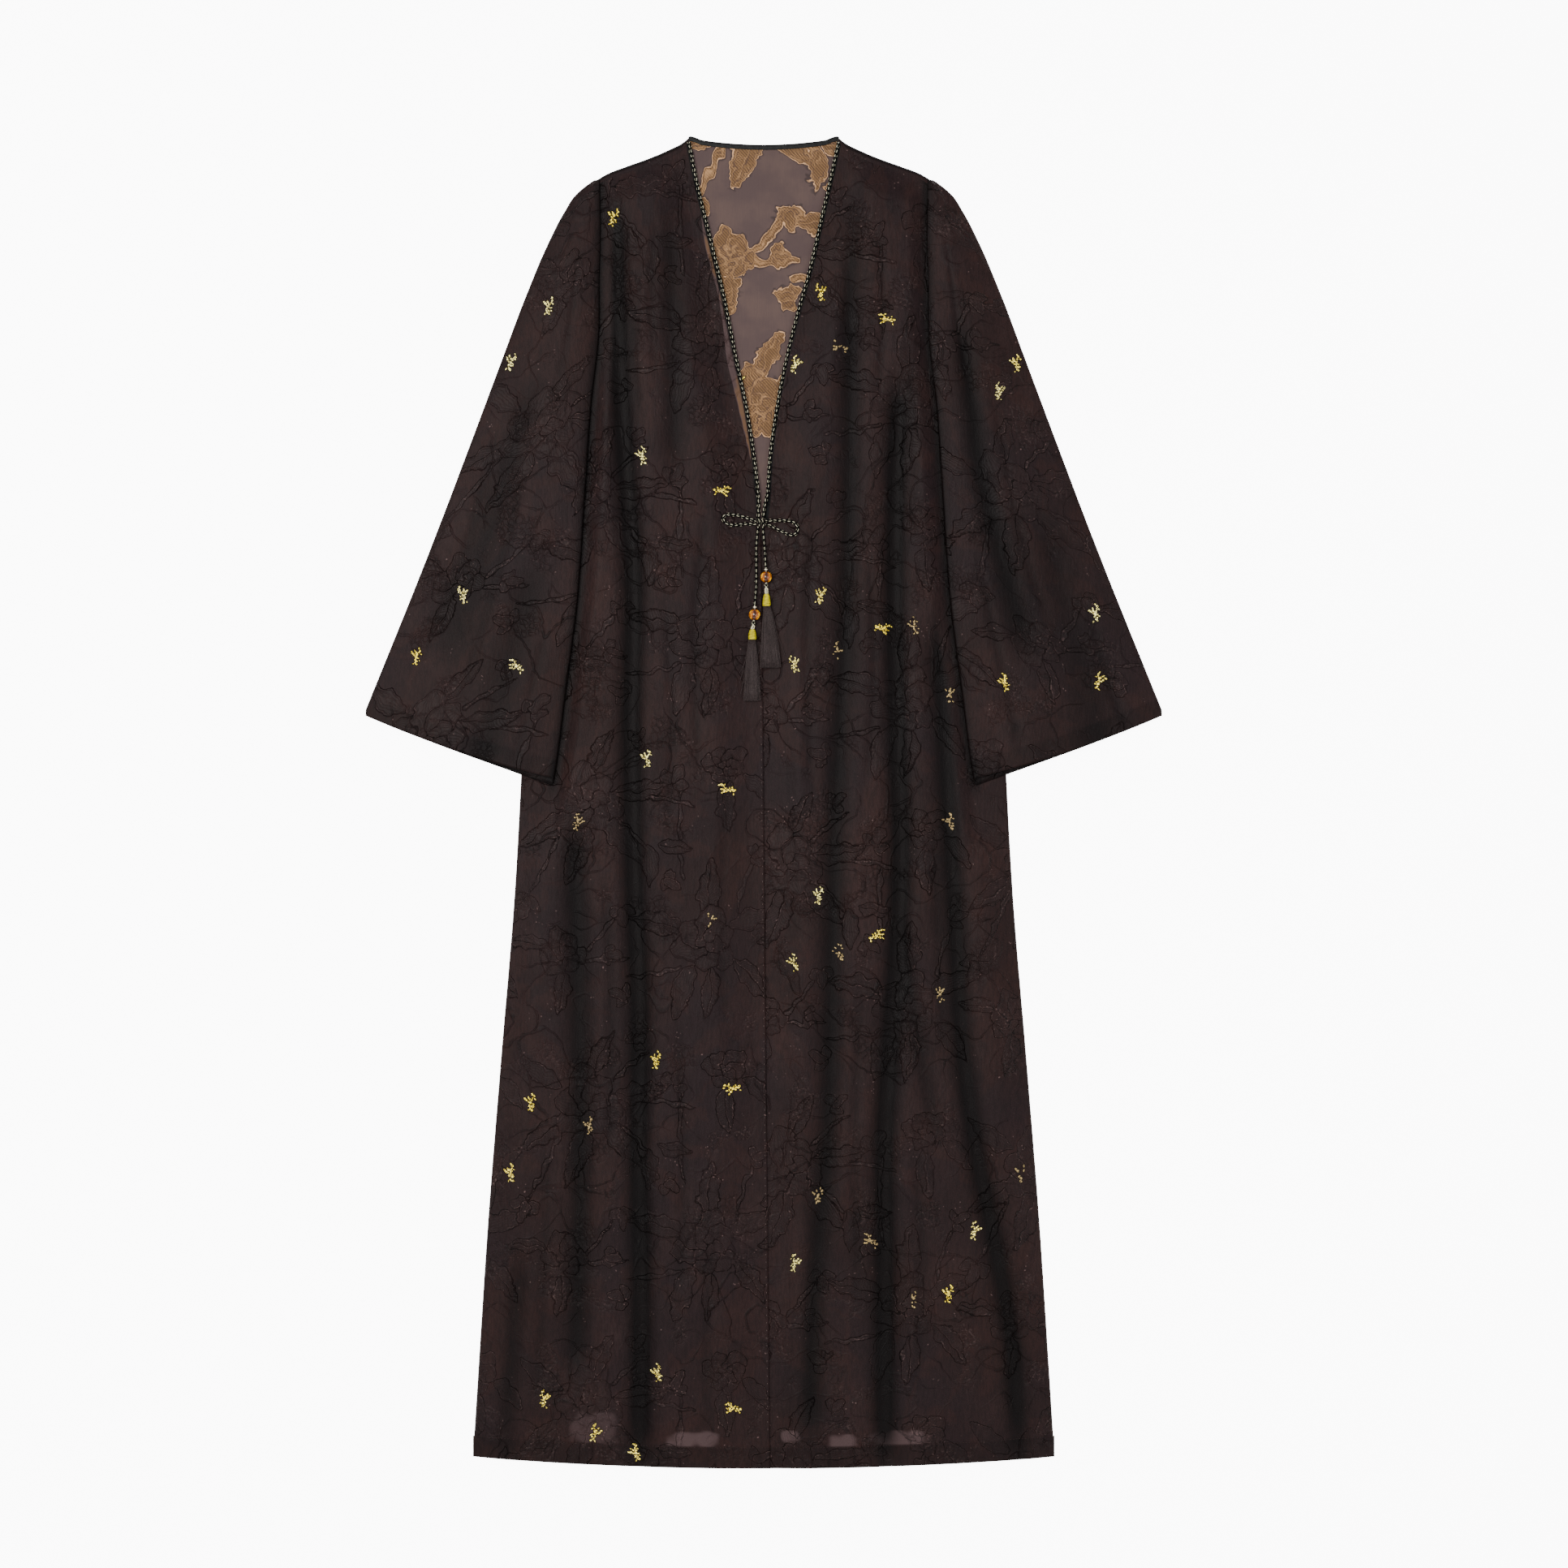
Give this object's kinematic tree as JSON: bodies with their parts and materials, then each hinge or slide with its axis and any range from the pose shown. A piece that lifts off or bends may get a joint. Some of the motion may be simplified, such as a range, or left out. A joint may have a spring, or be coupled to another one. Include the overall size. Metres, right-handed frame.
{
  "type": "abaya laid flat",
  "caption": "Open-front full-length abaya of sheer dark jacquard, laid flat with long flared sleeves, a corded V neck and a tasselled tie.",
  "frame": {"origin": "the middle of the garment as it lies, on the surface that it rests on", "axes": "+X to the viewer's right, +Y up the garment from hem to neck, +Z away from the surface"},
  "size_m": [0.8376, 1.4, 0.0165],
  "materials": {
    "organza": "sheer dark brown-black jacquard with raised leaves and a soft sheen",
    "organza_back": "inner face of the same cloth, mauve-taupe with golden tan figures",
    "binding": "black satin binding",
    "twisted_cord": "black and cream yarns twisted together",
    "metal_bead": "small pale polished bead",
    "amber": "glossy marbled amber resin",
    "yellow_thread": "wound yellow thread",
    "tassel_thread": "dark grey-brown silky thread"
  },
  "bodies": {
    "root": {"back": "organza_back", "left_front": "organza", "right_front": "organza", "left_sleeve": "organza", "right_sleeve": "organza", "back_neck_binding": "binding", "left_neck_cord": "twisted_cord", "right_neck_cord": "twisted_cord", "tie_knot": "twisted_cord", "left_bow_loop": "twisted_cord", "right_bow_loop": "twisted_cord", "left_tail": "twisted_cord", "right_tail": "twisted_cord", "left_metal_bead": "metal_bead", "right_metal_bead": "metal_bead", "left_amber_bead": "amber", "right_amber_bead": "amber", "left_tail_knot": "twisted_cord", "right_tail_knot": "twisted_cord", "left_tassel_loop": "yellow_thread", "right_tassel_loop": "yellow_thread", "left_tassel_cap": "yellow_thread", "right_tassel_cap": "yellow_thread", "left_tassel": "tassel_thread", "right_tassel": "tassel_thread"}
  },
  "joints": []
}
